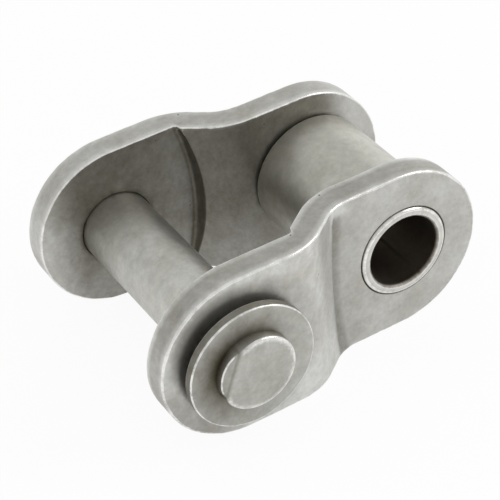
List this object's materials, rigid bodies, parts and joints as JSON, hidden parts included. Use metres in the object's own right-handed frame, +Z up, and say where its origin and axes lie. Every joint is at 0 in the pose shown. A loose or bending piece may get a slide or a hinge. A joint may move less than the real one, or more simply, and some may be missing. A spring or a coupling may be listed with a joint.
{
  "type": "roller chain offset link",
  "caption": "Offset link for a heavy roller chain: cranked side plates, a bush with a free roller at the narrow end and a removable pin with a washer at the wide end.",
  "frame": {"origin": "middle of the bush bore, on its axis", "axes": "+X from the pin to the bush, +Y along the bush bore from the washer side to the split pin side, +Z up with the link standing on the lower edges of its plates"},
  "size_m": [0.0812, 0.0748, 0.0384],
  "materials": {
    "plate_steel": "tumbled, matt",
    "bush_steel": "polished end, darker bore",
    "roller_steel": "tumbled, satin",
    "pin_steel": "ground, satin",
    "washer_steel": "stamped, matt",
    "split_pin_steel": "drawn wire, satin"
  },
  "bodies": {
    "side_frame": {"near_plate": "plate_steel", "far_plate": "plate_steel", "bush": "bush_steel"},
    "roller": {"roller": "roller_steel"},
    "pin_set": {"pin": "pin_steel", "pin_washer": "washer_steel", "split_pin": "split_pin_steel"}
  },
  "joints": [
    {"name": "roller_spin", "type": "hinge", "parent": "side_frame", "child": "roller", "pos_m": [0, 0, 0], "axis": [0, 1, 0], "continuous": true},
    {"name": "pin_float", "type": "slide", "parent": "side_frame", "child": "pin_set", "axis": [0, 1, 0], "range_m": [0, 0.0014]}
  ]
}
